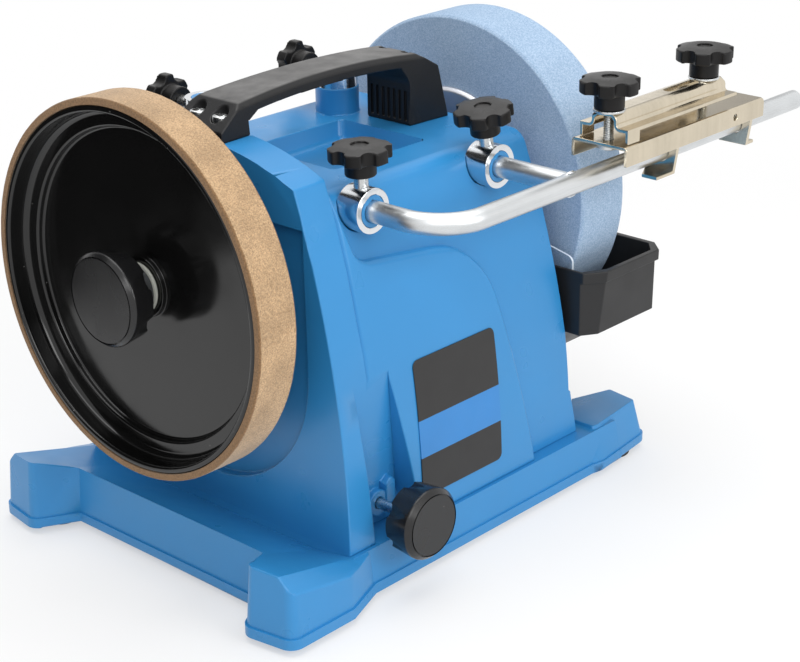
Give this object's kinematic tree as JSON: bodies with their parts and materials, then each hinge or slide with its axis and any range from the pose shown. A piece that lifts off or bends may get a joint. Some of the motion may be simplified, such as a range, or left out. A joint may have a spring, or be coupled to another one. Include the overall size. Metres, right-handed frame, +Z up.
{
  "type": "wet sharpening machine",
  "caption": "Bench wet sharpener: a slow water-cooled grinding stone and a leather honing wheel on one spindle, with a tool support bar and clamping jig.",
  "frame": {"origin": "centre of the bounding box in X and Y, on the bench top", "axes": "+X along the spindle from the honing wheel to the stone, -Y the front, +Z up"},
  "size_m": [0.445, 0.2766, 0.275],
  "materials": {
    "blue_shell": "satin moulded plastic",
    "black_plastic": "moulded black",
    "knob_plastic": "matt black",
    "stone": "rough bonded abrasive",
    "leather": "suede",
    "rubber": "matt",
    "bright_steel": "bright zinc plate",
    "nickel_sheet": "warm nickel plate",
    "zinc_sheet": "zinc plate",
    "motor_steel": "ground steel",
    "motor_cast": "as cast",
    "copper_winding": "varnished wire",
    "bush_metal": "sintered bronze",
    "clear_plastic": "clear sheet",
    "label": "gloss film"
  },
  "bodies": {
    "machine": {"housing": "blue_shell", "base_frame": "blue_shell", "bottom_plate": "black_plastic", "base_screws": "bright_steel", "rubber_feet": "rubber", "carry_handle": "black_plastic", "handle_screws": "bright_steel", "front_collars": "bright_steel", "rear_collars": "bright_steel", "axle_bushes": "bush_metal", "label_plate": "label", "cradle_bracket": "zinc_sheet", "cradle_pivot_pin": "bright_steel", "capacitor": "motor_cast", "switch_frame": "black_plastic", "cable_gland": "black_plastic"},
    "spindle": {"main_shaft": "bright_steel", "honing_disc": "black_plastic", "leather_band": "leather", "drive_ring": "rubber", "honing_flange": "zinc_sheet", "honing_washer": "bright_steel", "inner_flange": "zinc_sheet", "grinding_stone": "stone", "outer_flange": "zinc_sheet"},
    "honing_nut": {"honing_knob": "knob_plastic"},
    "stone_lock": {"stone_nut": "bright_steel"},
    "cradle": {"motor_cradle": "zinc_sheet", "motor_stator": "motor_steel", "motor_windings": "copper_winding", "motor_end_shields": "motor_cast", "motor_bearings": "motor_steel", "tension_nut": "zinc_sheet"},
    "rotor": {"motor_shaft": "bright_steel", "motor_rotor": "motor_steel", "drive_roller": "motor_steel", "cooling_fan": "black_plastic"},
    "tension": {"tension_knob": "knob_plastic", "tension_screw": "bright_steel"},
    "support": {"support_bar": "bright_steel", "support_leg": "bright_steel"},
    "front_clamp_left": {"front_knob_left": "knob_plastic", "front_screw_left": "bright_steel"},
    "front_clamp_right": {"front_knob_right": "knob_plastic", "front_screw_right": "bright_steel"},
    "rear_clamp_left": {"rear_knob_left": "knob_plastic", "rear_screw_left": "bright_steel"},
    "rear_clamp_right": {"rear_knob_right": "knob_plastic", "rear_screw_right": "bright_steel"},
    "jig": {"jig_base": "nickel_sheet", "jig_hooks": "nickel_sheet", "jig_studs": "bright_steel"},
    "jig_clamp": {"jig_clamp_bar": "nickel_sheet", "jig_washers": "bright_steel"},
    "jig_nut_left": {"jig_knob_left": "knob_plastic"},
    "jig_nut_right": {"jig_knob_right": "knob_plastic"},
    "tank": {"water_tank": "black_plastic", "splash_guard": "clear_plastic"},
    "rocker": {"switch_rocker": "black_plastic"}
  },
  "joints": [
    {"name": "spindle_spin", "type": "hinge", "parent": "machine", "child": "spindle", "pos_m": [0.0555, 0.01665, 0.171], "axis": [1, 0, 0], "continuous": true},
    {"name": "honing_knob_turn", "type": "hinge", "parent": "spindle", "child": "honing_nut", "pos_m": [-0.203, 0.01665, 0.171], "axis": [-1, 0, 0], "range_deg": [0, 360]},
    {"name": "stone_nut_turn", "type": "hinge", "parent": "spindle", "child": "stone_lock", "pos_m": [0.0995, 0.01665, 0.171], "axis": [1, 0, 0], "range_deg": [0, 360]},
    {"name": "tension_turn", "type": "hinge", "parent": "machine", "child": "tension", "pos_m": [-0.116, -0.10035, 0.045], "axis": [0, 1, 0], "range_deg": [0, 669.8]},
    {"name": "cradle_swing", "type": "hinge", "parent": "machine", "child": "cradle", "pos_m": [-0.1045, 0.07865, 0.0983], "axis": [-1, 0, 0], "range_deg": [0, 2.01]},
    {"name": "rotor_spin", "type": "hinge", "parent": "cradle", "child": "rotor", "pos_m": [-0.1045, 0.01665, 0.0983], "axis": [1, 0, 0], "continuous": true},
    {"name": "support_slide", "type": "slide", "parent": "machine", "child": "support", "axis": [0, -1, 0], "range_m": [-0.02, 0.05]},
    {"name": "front_clamp_left_turn", "type": "hinge", "parent": "machine", "child": "front_clamp_left", "pos_m": [-0.10765, -0.06135, 0.22749], "axis": [-0.0349, 0, 0.9994], "range_deg": [0, 360]},
    {"name": "front_clamp_right_turn", "type": "hinge", "parent": "machine", "child": "front_clamp_right", "pos_m": [-0.00689, -0.06135, 0.22727], "axis": [-0.1564, 0, 0.9877], "range_deg": [0, 360]},
    {"name": "rear_clamp_left_turn", "type": "hinge", "parent": "machine", "child": "rear_clamp_left", "pos_m": [-0.107, 0.07865, 0.242], "axis": [0, 1, 0], "range_deg": [0, 360]},
    {"name": "rear_clamp_right_turn", "type": "hinge", "parent": "machine", "child": "rear_clamp_right", "pos_m": [-0.004, 0.07865, 0.242], "axis": [0, 1, 0], "range_deg": [0, 360]},
    {"name": "jig_slide", "type": "slide", "parent": "support", "child": "jig", "axis": [1, 0, 0], "range_m": [-0.06, 0.06]},
    {"name": "jig_clamp_lift", "type": "slide", "parent": "jig", "child": "jig_clamp", "axis": [0, 0, 1], "range_m": [0, 0.006]},
    {"name": "jig_knob_left_turn", "type": "hinge", "parent": "jig_clamp", "child": "jig_nut_left", "pos_m": [0.029, -0.11935, 0.2445], "axis": [0, 0, 1], "range_deg": [0, 2160.1]},
    {"name": "jig_knob_right_turn", "type": "hinge", "parent": "jig_clamp", "child": "jig_nut_right", "pos_m": [0.12, -0.11935, 0.2445], "axis": [0, 0, 1], "range_deg": [0, 2160.1]},
    {"name": "tank_slide", "type": "slide", "parent": "machine", "child": "tank", "axis": [0, 0, 1], "range_m": [-0.028, 0]},
    {"name": "rocker_tilt", "type": "hinge", "parent": "machine", "child": "rocker", "pos_m": [-0.0045, 0.11715, 0.065], "axis": [1, 0, 0], "range_deg": [0, 14]}
  ],
  "couplings": [
    {"joint": "cradle_swing", "follows": "tension_turn", "ratio": 0.002986},
    {"joint": "rotor_spin", "follows": "spindle_spin", "ratio": 9.1111},
    {"joint": "jig_knob_left_turn", "follows": "jig_clamp_lift", "rad_per_m": 6283.2},
    {"joint": "jig_knob_right_turn", "follows": "jig_clamp_lift", "rad_per_m": 6283.2}
  ]
}
